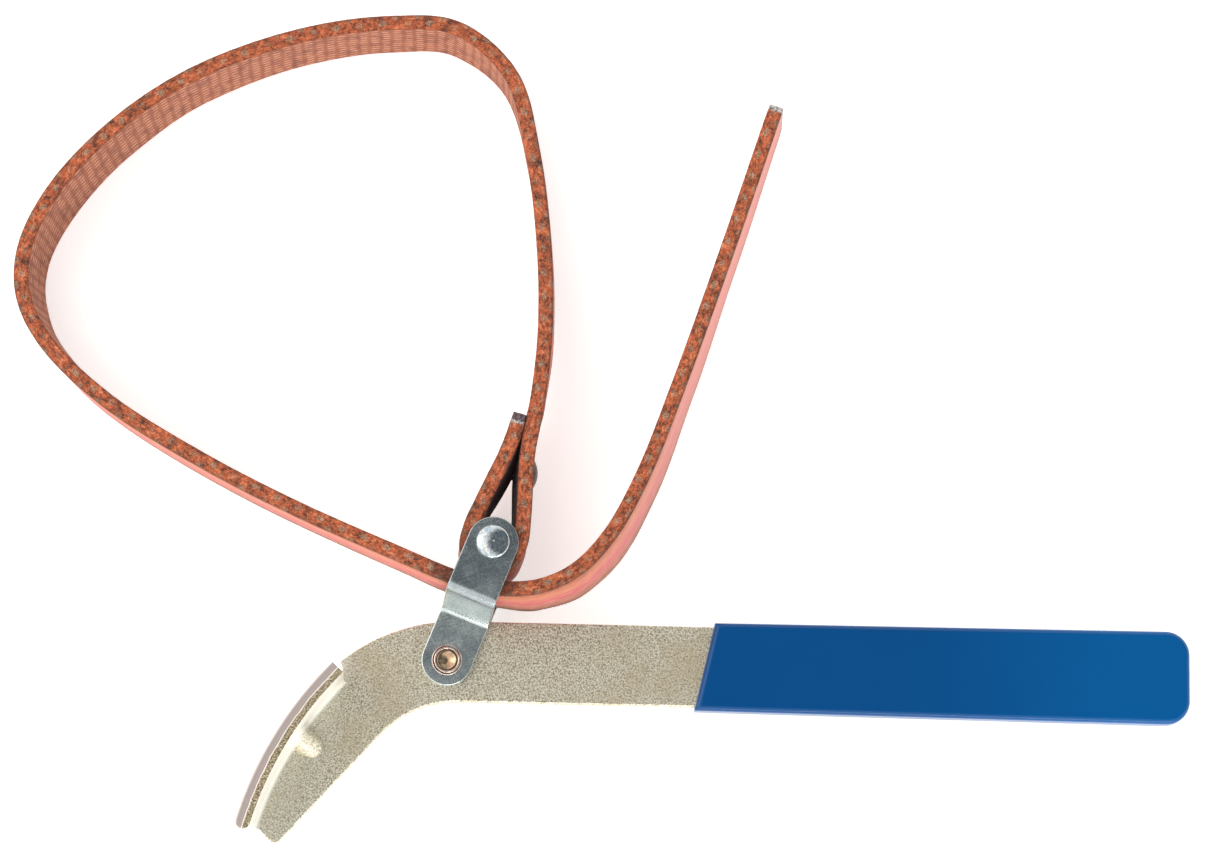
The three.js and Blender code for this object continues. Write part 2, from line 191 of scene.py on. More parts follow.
def linear(red, green, blue):
    """A colour given as it looks on a screen, from 0 to 255, as the shader wants it."""
    def channel(value):
        share = value / 255
        return share / 12.92 if share <= 0.04045 else ((share + 0.055) / 1.055) ** 2.4

    return (channel(red), channel(green), channel(blue), 1)


class Look:
    """One material's nodes. Each method adds a node and returns its output socket."""

    def __init__(self, name, **constants):
        self.material = bpy.data.materials.new(name)
        self.material.use_nodes = True
        self.tree = self.material.node_tree
        self.surface = self.tree.nodes["Principled BSDF"]
        for socket, value in constants.items():
            self.surface.inputs[socket.replace("_", " ")].default_value = value

    def node(self, kind, inputs, output=0, **settings):
        node = self.tree.nodes.new("ShaderNode" + kind)
        for key, value in settings.items():
            setattr(node, key, value)
        for key, value in inputs.items():
            self.feed(node.inputs[key], value)
        return node.outputs[output]

    def feed(self, socket, value):
        if isinstance(value, bpy.types.NodeSocket):
            self.tree.links.new(value, socket)
        else:
            socket.default_value = value

    def drive(self, colour, rough, **sockets):
        for name, value in {"Base_Color": colour, "Roughness": rough, **sockets}.items():
            self.feed(self.surface.inputs[name.replace("_", " ")], value)
        return self.material

    def place(self):
        """Position on the piece in millimetres."""
        return self.scaled(self.node("TexCoord", {}, "Object"), 1000, 1000, 1000)

    def attribute(self, name):
        return self.node("Attribute", {}, "Vector", attribute_name=name)

    def scaled(self, vector, x, y, z):
        return self.node("VectorMath", {0: vector, 1: (x, y, z)}, operation="MULTIPLY")

    def split(self, vector):
        node = self.tree.nodes.new("ShaderNodeSeparateXYZ")
        self.tree.links.new(vector, node.inputs[0])
        return node.outputs[0], node.outputs[1], node.outputs[2]

    def join(self, x, y, z):
        return self.node("CombineXYZ", {0: x, 1: y, 2: z})

    def math(self, operation, a, b=0.0):
        return self.node("Math", {0: a, 1: b}, operation=operation)

    def times(self, a, b):
        return self.math("MULTIPLY", a, b)

    def plus(self, a, b):
        return self.math("ADD", a, b)

    def minus(self, a, b):
        return self.math("SUBTRACT", a, b)

    def length(self, vector):
        return self.node("VectorMath", {0: vector}, "Value", operation="LENGTH")

    def distance(self, a, b):
        return self.node("VectorMath", {0: a, 1: b}, "Value", operation="DISTANCE")

    def clouds(self, vector, scale, detail=2.0, rough=0.5, distortion=0.0):
        inputs = {"Vector": vector, "Scale": scale, "Detail": detail,
                  "Roughness": rough, "Distortion": distortion}
        return self.node("TexNoise", inputs, "Fac")

    def between(self, value, low, high, to_low=0.0, to_high=1.0):
        """The value's share of the way from low to high, eased and clamped."""
        inputs = {"Value": value, "From Min": low, "From Max": high, "To Min": to_low, "To Max": to_high}
        return self.node("MapRange", inputs, interpolation_type="SMOOTHSTEP")

    def mixed(self, factor, a, b):
        return self.node("Mix", {0: factor, 6: a, 7: b}, 2, data_type="RGBA")

    def ramp(self, factor, stops):
        node = self.tree.nodes.new("ShaderNodeValToRGB")
        self.tree.links.new(factor, node.inputs[0])
        elements = node.color_ramp.elements
        while len(elements) < len(stops):
            elements.new(0.5)
        for element, (position, colour) in zip(elements, stops):
            element.position = position
            element.color = colour
        return node.outputs[0]

    def tints(self, factor, stops):
        """A ramp whose stops are a place and the colour there as it looks on a screen."""
        return self.ramp(factor, [(place, linear(*colour)) for place, *colour in stops])

    def bump(self, height, distance, strength):
        """A bump whose height of 1 stands the distance, in millimetres, above the surface."""
        return self.node("Bump", {"Height": height, "Distance": distance * MM, "Strength": strength})


# ---- Handle: close to the CAD part's sizes, though not all are the same ----

STEEL_LOW, STEEL_HIGH = 3.3, 7.3
BAR_HALF = 10.1
BAR_END, BAR_END_RADIUS = 186.2, 5
HEAD_ARC = {"x": 3, "radius": 46, "end": 130.3}
HOLLOW_ARC = {"x": 3, "radius": 26, "end": 138.6}
HEAD_TIP = Vector((-41.7, -47.2))
FLANGE = {"x": 39, "y": -67.85, "radius": 93.6, "start": 136.03, "end": 164.1, "top": 23.3}
FLANGE_SHEET = 3.75
FLANGE_INNER = FLANGE["radius"] - FLANGE_SHEET
BEND_RADIUS = 1.5
BEND_LINE = FLANGE_INNER - BEND_RADIUS
PLATE_END_ANGLE = 163.75
SLIT = {"angle": 135.84, "radius": 90.1, "end": 0.4}
GUSSET = {"angle": 147.7, "radius": 3.2, "reach": 8, "crown": 1.5, "dent": 4.9}
TIP_ROUND = 1.6
PIVOT_BORE, PIN_BORE = 2.55, 3.05
GRIP = {"end": 187.3, "corner": 6, "low": 1.9, "high": 8.7, "rounding": 1.5, "gap": 0.05}


def on_flange(radius, angle):
    turn = math.radians(angle)
    return Vector((FLANGE["x"] + radius * math.cos(turn), FLANGE["y"] + radius * math.sin(turn)))


def curve_through(start, control, end, steps):
    """Points on a quadratic curve, both ends included."""
    shares = [i / steps for i in range(steps + 1)]
    return [start.lerp(control, t).lerp(control.lerp(end, t), t) for t in shares]


def handle_outline():
    hollow_y = -BAR_HALF - HOLLOW_ARC["radius"]
    corner = Vector((BAR_END - BAR_END_RADIUS, BAR_HALF - BAR_END_RADIUS))
    hollow = arc(HOLLOW_ARC["x"], hollow_y, HOLLOW_ARC["radius"], HOLLOW_ARC["end"], 90, 40)
    plate_end = on_flange(BEND_LINE, PLATE_END_ANGLE)
    into_tip = HEAD_TIP + (plate_end - HEAD_TIP).normalized() * TIP_ROUND
    out_of_tip = HEAD_TIP + (hollow[0] - HEAD_TIP).normalized() * TIP_ROUND
    return [
        *arc(corner.x, -corner.y, BAR_END_RADIUS, -90, 0, 8),
        *arc(corner.x, corner.y, BAR_END_RADIUS, 0, 90, 8),
        *arc(HEAD_ARC["x"], BAR_HALF - HEAD_ARC["radius"], HEAD_ARC["radius"], 90, HEAD_ARC["end"], 48),
        on_flange(SLIT["radius"], SLIT["angle"]),
        on_flange(SLIT["radius"], SLIT["angle"] + SLIT["end"]),
        *arc(FLANGE["x"], FLANGE["y"], BEND_LINE, FLANGE["start"], PLATE_END_ANGLE, 60),
        *curve_through(into_tip, HEAD_TIP, out_of_tip, 6),
        *hollow,
    ]


def flange(looks):
    """The turned-up flange and its bend, swept about the flange's centre, with a round lower end."""
    foot = BEND_LINE - 1.5
    outer_round, inner_round = 0.5, 0.25
    outer_bend = BEND_RADIUS + FLANGE_SHEET
    top, outer = FLANGE["top"], FLANGE["radius"]
    middle = outer - FLANGE_SHEET / 2
    join_angle = math.degrees(math.asin(BEND_RADIUS / outer_bend)) - 90
    bend_centre = STEEL_LOW + outer_bend
    wall = [
        *arc(BEND_LINE, bend_centre, outer_bend, join_angle, 0, 8),
        *arc(outer - outer_round, top - outer_round, outer_round, 0, 90, 4),
        *arc(FLANGE_INNER + inner_round, top - inner_round, inner_round, 90, 180, 3),
        Vector((FLANGE_INNER, STEEL_HIGH + BEND_RADIUS)),
    ]
    heel = [
        *arc(BEND_LINE, STEEL_HIGH + BEND_RADIUS, BEND_RADIUS, 0, -90, 8)[1:],
        Vector((foot, STEEL_HIGH)),
        Vector((foot, STEEL_LOW)),
        *arc(BEND_LINE, bend_centre, outer_bend, -90, join_angle, 4)[:-1],
    ]
    cap = FLANGE_SHEET / 2
    stations = [(FLANGE["start"] + (PLATE_END_ANGLE - FLANGE["start"]) * i / 60, 1) for i in range(61)]
    wall_only = [(PLATE_END_ANGLE + (FLANGE["end"] - PLATE_END_ANGLE) * i / 3, 1) for i in range(1, 4)]
    for i in range(1, 9):
        turn = math.radians(90 * i / 8)
        angle = FLANGE["end"] + math.degrees(cap * math.sin(turn) / middle)
        wall_only.append((angle, max(math.cos(turn), 0.02)))
    section = wall + heel
    points, faces, slots = [], [], []

    def add_station(angle, share, loop):
        for r, z in loop:
            spot = on_flange(middle + (r - middle) * share, angle)
            points.append((spot.x, spot.y, z))

    def is_top(i):
        return i < len(wall) - 1 and min(section[i][1], section[i + 1][1]) > top - 0.52

    def join_stations(first, second, size):
        for i in range(size):
            j = (i + 1) % size
            faces.append((first + i, first + j, second + j, second + i))
            slots.append(int(is_top(i)))

    for angle, share in stations:
        add_station(angle, share, section)
    count = len(section)
    for s in range(len(stations) - 1):
        join_stations(s * count, (s + 1) * count, count)
    last_full = (len(stations) - 1) * count
    faces.append(tuple(reversed(range(count))))
    faces.append(tuple(last_full + i for i in [*range(len(wall) - 1, count), 0]))
    slots += [0, 0]
    previous, width = last_full, len(wall)
    for angle, share in wall_only:
        start = len(points)
        add_station(angle, share, wall)
        join_stations(previous, start, width)
        previous = start
    faces.append(tuple(previous + i for i in range(width)))
    slots.append(0)
    return tidied(piece("flange", points, faces, looks, slots))


def gusset_bar(offset, radius, looks):
    """A bar with round ends that leans at 45 degrees across the bend."""
    half = GUSSET["reach"] / 2
    low = arc(0, -half, radius, -90, 0, 10)
    high = arc(0, half, radius, 0, 90, 10)
    spot = on_flange(FLANGE_INNER - offset, GUSSET["angle"])
    lean = Matrix.Rotation(math.radians(GUSSET["angle"]), 4, "Z") @ Matrix.Rotation(math.radians(45), 4, "Y")
    place = Matrix.Translation((spot.x, spot.y, STEEL_HIGH + offset)) @ lean
    return turned("gusset", [(max(p.x, 0), p.y) for p in low + high], looks, 40, place)


def handle_bar(looks):
    bar = tidied(plate("handle_bar_steel", handle_outline(), STEEL_LOW, STEEL_HIGH, 0.35, looks))
    bar = combined(bar, flange(looks), "UNION")
    bar = combined(bar, gusset_bar(GUSSET["crown"], GUSSET["radius"], looks), "UNION")
    bar = combined(bar, gusset_bar(-GUSSET["dent"], GUSSET["radius"] * 0.7, looks), "DIFFERENCE")
    bar = combined(bar, rod(0, 0, PIVOT_BORE, -5, 15), "DIFFERENCE")
    return smoothed(tidied(bar, 0.002), 38)


def grip(look):
    """Dipped sleeve: soft edges, straight sides that are not quite parallel, and a hollow for the bar."""
    end, corner, gap = GRIP["end"], GRIP["corner"], GRIP["gap"]
    low_left, high_left = Vector((62.2, -11.2)), Vector((67.2, 11.1))
    low_right, high_right = Vector((end - corner, -12.1)), Vector((end - corner, 11.5))
    outline = [
        low_left,
        *line_points(low_left, low_right, 3),
        *arc(end - corner, low_right.y + corner, corner, -90, 0, 16),
        *arc(end - corner, high_right.y - corner, corner, 0, 90, 16),
        *line_points(high_right, high_left, 3),
        high_left,
    ]
    sleeve = plate("grip_sleeve_vinyl", outline, GRIP["low"], GRIP["high"], GRIP["rounding"], [look], 7)
    bar_outline = [
        Vector((50, -BAR_HALF - gap)),
        *arc(BAR_END - BAR_END_RADIUS, BAR_END_RADIUS - BAR_HALF, BAR_END_RADIUS + gap, -90, 0, 8),
        *arc(BAR_END - BAR_END_RADIUS, BAR_HALF - BAR_END_RADIUS, BAR_END_RADIUS + gap, 0, 90, 8),
        Vector((50, BAR_HALF + gap)),
    ]
    hollow = plate("hollow", bar_outline, STEEL_LOW - gap, STEEL_HIGH + gap, 0.3, [look])
    return smoothed(combined(tidied(sleeve), tidied(hollow), "DIFFERENCE"), 40)


# ---- Links ----

LINK_LENGTH = PIN.length
LINK_ANGLE = math.atan2(PIN.y, PIN.x)
LINK_RADIUS, LINK_SHEET = 6.4, 1.5
REAR_LINK_LOW = 1.5
FRONT_LINK_LOW, FRONT_LINK_HIGH = 7.6, 24
JOGGLE = {"start": 12.4, "end": 15.3, "bend": 1.9}


def joggle_line():
    """The front link's middle line seen from its edge, from the pivot to the pin."""
    low = FRONT_LINK_LOW + LINK_SHEET / 2
    high = FRONT_LINK_HIGH + LINK_SHEET / 2
    wall = math.atan2(high - low, JOGGLE["end"] - JOGGLE["start"])
    cut = JOGGLE["bend"] * math.tan(wall / 2)
    turn = math.degrees(wall)
    return [
        Vector((0, low)),
        *arc(JOGGLE["start"] - cut, low + JOGGLE["bend"], JOGGLE["bend"], -90, turn - 90, 14),
        *arc(JOGGLE["end"] + cut, high - JOGGLE["bend"], JOGGLE["bend"], turn + 90, 90, 14),
        Vector((LINK_LENGTH, high)),
    ]


def along(line, distance):
    """Point and unit direction at a distance along a line, which runs on straight past its ends."""
    for a, b in zip(line, line[1:]):
        step = (b - a).length
        if distance <= step or b is line[-1]:
            direction = (b - a) / step
            return a + direction * distance, direction
        distance -= step


def link(name, line, look):
    """A strip with round ends and rounded edges, bent along a line in its edge view."""
    length = sum((b - a).length for a, b in zip(line, line[1:]))
    half, edge = LINK_SHEET / 2, 0.28
    turns = [math.radians(90 * i / 3) for i in range(4)]
    insets = [(edge * (1 - math.sin(t)), edge * (1 - math.cos(t)) - half) for t in turns]
    insets += [(edge * (1 - math.cos(t)), half - edge * (1 - math.sin(t))) for t in turns]
    inner = [LINK_RADIUS * share for share in (0.25, 0.5, 0.75, 1)]
    rings = [(i, -half) for i in reversed(inner)] + insets + [(i, half) for i in inner]
    sides = max(int(length / 0.35), 8)
    points = []
    for inset, height in rings:
        radius = LINK_RADIUS - inset
        loop = [Vector((length * i / sides, -radius)) for i in range(sides)]
        loop += arc(length, 0, radius, -90, 90, 32)[:-1]
        loop += [Vector((length * (1 - i / sides), radius)) for i in range(sides)]
        loop += arc(0, 0, radius, 90, 270, 32)[:-1]
        for spot in loop:
            at, direction = along(line, spot.x)
            points.append((at.x - direction.y * height, spot.y, at.y + direction.x * height))
    count = len(points) // len(rings)
    faces = ring_faces(len(rings), count)
    turn = Matrix.Rotation(LINK_ANGLE, 3, "Z")
    strip = tidied(piece(name, [turn @ Vector(p) for p in points], faces, [look]))
    strip = combined(strip, rod(0, 0, PIVOT_BORE, -5, 30), "DIFFERENCE")
    strip = combined(strip, rod(PIN.x, PIN.y, PIN_BORE, -5, 30), "DIFFERENCE")
    return smoothed(strip, 40)


def front_link(look):
    return link("front_link_plate", joggle_line(), look)


def rear_link(look):
    middle = REAR_LINK_LOW + LINK_SHEET / 2
    return link("rear_link_plate", [Vector((0, middle)), Vector((LINK_LENGTH, middle))], look)


# ---- Rivets, pin and bush ----


def pivot_rivet(look):
    """A rolled lip, a bright ring inside it and a dished copper bore, over a plain shank and head."""
    seat = FRONT_LINK_LOW + LINK_SHEET
    profile = [(0, 0), (2.2, 0), (3.0, 0.15), (3.6, 0.5), (4.0, 0.95), (4.2, 1.45), (2.4, 1.5), (2.4, seat)]
    profile += [(3.75, seat), (3.85, seat + 0.12)]
    profile += arc(3.62, seat + 0.2, 0.22, 0, 160, 6)
    profile += [(3.36, seat + 0.08), (3.3, seat + 0.1)]
    profile += arc(3.02, seat + 0.48, 0.3, -20, 200, 9)
    profile += [(2.62, seat + 0.16), (2.5, seat + 0.12), (2.38, seat + 0.2), (2.25, seat + 0.2)]
    profile += [(1.9, seat + 0.02), (1.4, seat - 0.22), (0.9, seat - 0.4)]
    profile += [(0.45, seat - 0.52), (0, seat - 0.62)]
    return smoothed(turned("pivot_rivet_copper", profile, [look], 96), 60, False)


def strap_pin(look):
    """A low polished dome with a rounded rim and a small mark left by the turning centre."""
    seat = FRONT_LINK_HIGH + LINK_SHEET
    curve, rim = 10.5, 3.75
    rim_slope = math.asin(rim / curve)
    high = seat + 2.05
    dome = arc(0, high - curve, curve, 90 - math.degrees(rim_slope), 89, 20)
    corner = 0.68
    turn = math.degrees(rim_slope)
    edge = arc(dome[0].x - corner * math.sin(rim_slope), dome[0].y - corner * math.cos(rim_slope),
               corner, 0, 90 - turn, 8)
    profile = [(0, 0.3), (2.9, 0.3), (3.5, 0.5), (3.8, 0.9), (3.9, 1.5), (2.9, 1.5), (2.9, seat)]
    profile += [(edge[0].x - 0.05, seat), (edge[0].x, seat + 0.1)]
    profile += edge + dome[1:]
    profile += [(0.12, high - 0.05), (0, high - 0.09)]
    pin = turned("strap_pin_steel", profile, [look], 96, Matrix.Translation(PIN.to_3d()))
    return smoothed(pin, 50, False)


def pin_bush(look):
    bottom = REAR_LINK_LOW + LINK_SHEET + 0.2
    top = FRONT_LINK_HIGH - 0.2
    outer = 3.9
    profile = [(PIN_BORE, bottom), (outer - 0.2, bottom), (outer, bottom + 0.2), (outer, top - 0.2),
               (outer - 0.2, top), (PIN_BORE, top), (PIN_BORE, bottom)]
    return smoothed(turned("pin_bush_steel", profile, [look], 64, Matrix.Translation(PIN.to_3d())), 40, False)


RIVET = {"x": 15.3, "y": 47, "turn": -3, "shank": 1.8, "head": 4.2, "dome": 1.5, "seat": 4.9}
WASHER = {"x": 11, "y": 47.2, "turn": -25, "radius": 3.6, "thickness": 0.5}


def across_strap(at):
    """Turns a piece made along Z so that it points along X, turned in plan, at the strap's mid height."""
    middle = STRAP_TOP - STRAP_WIDTH / 2 - droop(Vector((at["x"], at["y"])))
    turn = Matrix.Rotation(math.radians(at["turn"]), 4, "Z") @ Matrix.Rotation(math.radians(90), 4, "Y")
    return Matrix.Translation((at["x"], at["y"], middle)) @ turn


def strap_rivet(look):
    seat, dome, head = RIVET["seat"], RIVET["dome"], RIVET["head"]
    curve = (head**2 + dome**2) / (2 * dome)
    edge = math.degrees(math.acos(head / curve))
    body = [(0, -4.3), (RIVET["shank"], -4.3), (RIVET["shank"], seat), (head - 0.15, seat)]
    body += arc(0, seat + dome - curve, curve, edge, 90, 16)
    clench = [(0, -1), (1.7, -1), (2.3, -0.9), (2.6, -0.7), (2.7, -0.4), (1.7, -0.4), (1.7, 0.5), (0, 0.5)]
    rivet = turned("strap_rivet_steel", body, [look], 64, across_strap(RIVET))
    rivet = combined(rivet, turned("clench", clench, [look], 48, across_strap(WASHER)), "UNION")
    return smoothed(rivet, 40, False)


def strap_washer(look):
    bore, half = RIVET["shank"] + 0.6, WASHER["thickness"] / 2
    rim = WASHER["radius"]
    profile = [(bore, -half), (rim - 0.1, -half), (rim, 0), (rim - 0.1, half), (bore, half), (bore, -half)]
    return smoothed(turned("strap_washer_steel", profile, [look], 48, across_strap(WASHER)), 40, False)


# ---- Strap ----

STRAP_WIDTH, STRAP_THICKNESS, STRAP_TOP, STRAP_DROOP = 20, 3.8, 23.5, 3.1
PINCH = {"left": 1.8, "right": 0.8, "reach": 11}
LEG_POINTS = {"left": 5, "right": 17}
STRAP_STEP = 0.45

# Centre of the upper edge from the sealed end past the rivet to the free tail: X, Y, and how far the
# upper edge leans to the left of the lower one. About half of the rows differ from the CAD's, by up to 1 mm.
STRAP_ROUTE = [
    (16.6, 60.6, 0), (15.3, 55.9, 0), (13.0, 49.7, 0), (10.1, 43.5, 0), (7.3, 37.3, 0), (5.2, 32.2, 0),
    (4.2, 26.6, 0), (6.3, 22.7, 0), (10.6, 20.9, 0), (14.8, 22.7, 0), (17.4, 27.5, -0.2),
    (18.2, 34.0, -0.8), (18.5, 40.0, -0.9), (18.6, 45.5, -0.9), (19.0, 51.0, -0.8), (20.05, 57.5, -0.4),
    (21.3, 66.0, 0.3), (22.6, 81.9, 0.9), (22.1, 102.4, 1.1), (18.7, 128.4, 1.2), (12.7, 148.6, 0.7),
    (-1.1, 160.4, -0.4), (-18.3, 161.35, -0.8), (-40.8, 157.4, -1.1), (-66.75, 147.05, -1.7),
    (-86.3, 133.2, -2.6), (-101.5, 115.9, -3.1), (-108.4, 100.5, -3.0), (-108.35, 88.35, -3.0),
    (-102.35, 76.7, -2.0), (-87.1, 62.4, -1.3), (-62.2, 47.3, -1.0), (-36.8, 34.6, -0.9),
    (-11.7, 24.0, -0.6), (1.0, 19.0, -0.3), (12.0, 16.4, 0.3), (22.5, 17.2, 1.6), (31.5, 21.6, 2.8),
    (39.6, 30.5, 3.4), (47.7, 46.0, 3.2), (57.2, 71.6, 2.6), (68.4, 104.9, 1.9), (80.4, 142.2, 1.4),
]


def droop(spot):
    """How far the strap has sunk at a distance from the pin that holds it."""
    share = min(max(((spot - PIN.to_2d()).length - 25) / 60, 0), 1)
    return STRAP_DROOP * share * share * (3 - 2 * share)


def route_at(t):
    """Spot, direction and lean at a route number, on the centripetal curve through the route."""
    i = min(int(t), len(STRAP_ROUTE) - 2)
    weight = t - i
    spots = [Vector(row[:2]) for row in STRAP_ROUTE]
    p1, p2 = spots[i], spots[i + 1]
    p0 = spots[i - 1] if i else p1 * 2 - p2
    p3 = spots[i + 2] if i + 2 < len(spots) else p2 * 2 - p1
    d0, d1, d2 = (math.sqrt((b - a).length) for a, b in ((p0, p1), (p1, p2), (p2, p3)))
    t1 = ((p1 - p0) / d0 - (p2 - p0) / (d0 + d1) + (p2 - p1) / d1) * d1
    t2 = ((p2 - p1) / d1 - (p3 - p1) / (d1 + d2) + (p3 - p2) / d2) * d1
    c2 = (p2 - p1) * 3 - t1 * 2 - t2
    c3 = (p1 - p2) * 2 + t1 + t2
    spot = p1 + (t1 + (c2 + c3 * weight) * weight) * weight
    direction = (t1 + (c2 * 2 + c3 * 3 * weight) * weight).normalized()
    ease = weight * weight * (3 - 2 * weight)
    lean = STRAP_ROUTE[i][2] * (1 - ease) + STRAP_ROUTE[i + 1][2] * ease
    return spot, direction, lean


def strap_stations():
    """Even stations (distance, route number, spot, direction, lean) and the strap's length."""
    fine = [i / 60 for i in range(60 * (len(STRAP_ROUTE) - 1) + 1)]
    places = [route_at(t) for t in fine]
    lengths = [0.0]
    for (a, *_), (b, *_) in zip(places, places[1:]):
        lengths.append(lengths[-1] + (b - a).length)
    total = lengths[-1]
    count = int(total / STRAP_STEP)
    stations, k = [], 0
    for i in range(count + 1):
        goal = total * i / count
        while k + 2 < len(fine) and lengths[k + 1] < goal:
            k += 1
        share = (goal - lengths[k]) / (lengths[k + 1] - lengths[k])
        t = fine[k] + (fine[k + 1] - fine[k]) * min(max(share, 0), 1)
        stations.append((goal, t, *route_at(t)))
    return stations, total


def pinch_at(t, spot):
    depth = PINCH["left"] if t < LEG_POINTS["left"] else PINCH["right"]
    away = max((spot - Vector((RIVET["x"], RIVET["y"]))).length - 4, 0)
    return 0 if t > LEG_POINTS["right"] else depth * math.exp(-((away / PINCH["reach"]) ** 2))


def section_ring():
    """The strap's section as (out, up, side): the inner face, upper edge, outer face and lower edge."""
    half, tall, corner = STRAP_THICKNESS / 2, STRAP_WIDTH / 2, 0.55
    face = [-tall + corner + (2 * tall - 2 * corner) * i / 18 for i in range(19)]
    flat = [half - corner - (2 * half - 2 * corner) * i / 8 for i in range(1, 8)]
    bends = [math.radians(90 * i / 4) for i in range(1, 5)]
    ring = [(half, v, "inner") for v in face]
    ring += [(half - corner + corner * math.cos(b), tall - corner + corner * math.sin(b), "upper")
             for b in bends]
    ring += [(u, tall, "upper") for u in flat]
    ring += [(-half + corner - corner * math.sin(b), tall - corner + corner * math.cos(b), "upper")
             for b in [0, *bends[:-1]]]
    opposite = {"inner": "outer", "upper": "lower"}
    return ring + [(-u, -v, opposite[side]) for u, v, side in ring]


KNOT_PITCH = 6.0
KNOT_ROWS = (0.3, -1.45)


def knot_height(distance, out):
    """Rise of the weft's turned ends, which stand in two staggered rows on the strap's edge."""
    rise = 0
    for row, shift in zip(KNOT_ROWS, (0, 0.5)):
        share = distance / KNOT_PITCH + shift
        near = (share - round(share)) * KNOT_PITCH
        rise = max(rise, 1 - (near / 1.15) ** 2 - ((out - row) / 0.95) ** 2)
    return 0.2 * max(rise, 0)


def roughness_at(distance, out, up):
    """Small unevenness of the woven surface, in millimetres."""
    spot = Vector((distance * 0.55, out * 0.8, up * 0.5))
    return 0.12 * noise.noise(spot) + 0.06 * noise.noise(spot * 3.1)


def strap(looks):
    """The webbing: inner face, two woven edges, outer face and two sealed ends, each its own slot."""
    stations, total = strap_stations()
    ring = section_ring()
    count = len(ring)
    points = []
    for distance, t, spot, direction, lean in stations:
        left = Vector((-direction.y, direction.x, 0))
        rise = math.sqrt(STRAP_WIDTH**2 - lean**2)
        up = Vector((left.x * lean, left.y * lean, rise)) / STRAP_WIDTH
        out = Vector((left.x * rise, left.y * rise, -lean)) / STRAP_WIDTH
        pinch = pinch_at(t, spot)
        centre = Vector((spot.x, spot.y, STRAP_TOP - droop(spot))) - up * (STRAP_WIDTH / 2)
        ends = min(distance, total - distance)
        thin = 1 - (0.14 if distance < total / 2 else 0.05) * math.exp(-((ends / 2.2) ** 2))
        for u, v, side in ring:
            wide = 1
            if side in ("upper", "lower"):
                rise_here = knot_height(distance, u) + roughness_at(distance, u, v)
                wide = min(1 - 0.012 + rise_here / (STRAP_WIDTH / 2), 1.004)
            deep = thin * (1 + 0.5 * roughness_at(distance, u * 2, v) / STRAP_THICKNESS)
            share = v / (STRAP_WIDTH / 2)
            points.append(centre + up * (v * wide) + out * (u * deep + pinch * max(1 - share * share, 0)))
    sides = [side for _, _, side in ring]
    slot_of = {"inner": 0, "upper": 1, "outer": 2, "lower": 1}
    faces, slots, marks = [], [], []
    for s in range(len(stations) - 1):
        a, b = stations[s][0], stations[s + 1][0]
        for i in range(count):
            j = (i + 1) % count
            side = sides[i] if sides[i] == sides[j] or sides[i] in ("upper", "lower") else sides[j]
            faces.append((s * count + i, (s + 1) * count + i, (s + 1) * count + j, s * count + j))
            slots.append(slot_of[side])
            k = 0 if side in ("upper", "lower") else 1
            marks += [(a, ring[i][k], 0), (b, ring[i][k], 0), (b, ring[j][k], 0), (a, ring[j][k], 0)]
    last = (len(stations) - 1) * count
    for cap in (tuple(range(count)), tuple(last + i for i in reversed(range(count)))):
        faces.append(cap)
        slots.append(3)
        marks += [(ring[i % count][0], ring[i % count][1], 0) for i in cap]
    obj = piece("strap_webbing", points, faces, looks, slots)
    attribute = obj.data.attributes.new("strap_mm", "FLOAT_VECTOR", "CORNER")
    attribute.data.foreach_set("vector", [value for mark in marks for value in mark])
    return smoothed(obj, 50, False)


# ---- Looks ----


def from_flange_centre(look, spot):
    """Distance in plan from the centre that the flange is bent about."""
    centre = (FLANGE["x"] + PIVOT.x, FLANGE["y"] + PIVOT.y, 0)
    flat = look.scaled(spot, 1, 1, 0)
    return look.distance(flat, centre)


def zinc_look():
    """Speckled dull zinc with tan stains, a little paler towards the bend, with a painted highlight on the
    bend and painted shade on the flange's outer face.
    """
    look = Look("speckled_zinc", Metallic=0.7)
    spot = look.place()
    grain = look.clouds(spot, 2.3, 2, 0.6)
    sparkle = look.clouds(look.scaled(spot, 1, 1, 0.6), 3.6, 1, 0.5)
    fleck = look.plus(look.times(grain, 0.6), look.times(sparkle, 0.4))
    speckled = look.tints(fleck, [
        (0.37, 116, 108, 88), (0.45, 184, 176, 154),
        (0.52, 226, 218, 196), (0.6, 255, 252, 238),
    ])
    drift = look.clouds(spot, 0.045, 3, 0.6)
    stain = look.between(drift, 0.48, 0.7)
    stained = look.mixed(look.times(stain, 0.35), speckled, linear(196, 176, 138))
    x = look.split(spot)[0]
    radius = from_flange_centre(look, spot)
    on_head = look.between(x, FLANGE["x"] + PIVOT.x - 62, FLANGE["x"] + PIVOT.x - 68)
    near_bend = look.times(look.between(radius, BEND_LINE - 13, BEND_LINE), on_head)
    # Painted highlight: the bend is turned near white.
    on_bend = look.times(look.between(radius, BEND_LINE - 0.2, BEND_LINE + 0.8), on_head)
    pale = look.mixed(look.times(near_bend, 0.25), stained, linear(240, 238, 222))
    with_painted_highlight = look.mixed(look.times(on_bend, 0.9), pale, linear(255, 253, 244))
    # Painted shade: the flange's outer face is darkened.
    at_outside = look.between(radius, FLANGE["radius"] - 0.5, FLANGE["radius"] - 0.1)
    outside = look.times(at_outside, on_head)
    with_painted_shade = look.mixed(look.times(outside, 0.7), with_painted_highlight, linear(128, 121, 104))
    calm = look.minus(1.0, look.times(on_bend, 0.8))
    rough = look.between(fleck, 0.38, 0.6, 0.55, 0.34)
    normal = look.bump(look.times(fleck, calm), 0.09, 0.8)
    shine = look.minus(0.7, look.times(on_bend, 0.45))
    return look.drive(with_painted_shade, rough, Metallic=shine, Normal=normal)


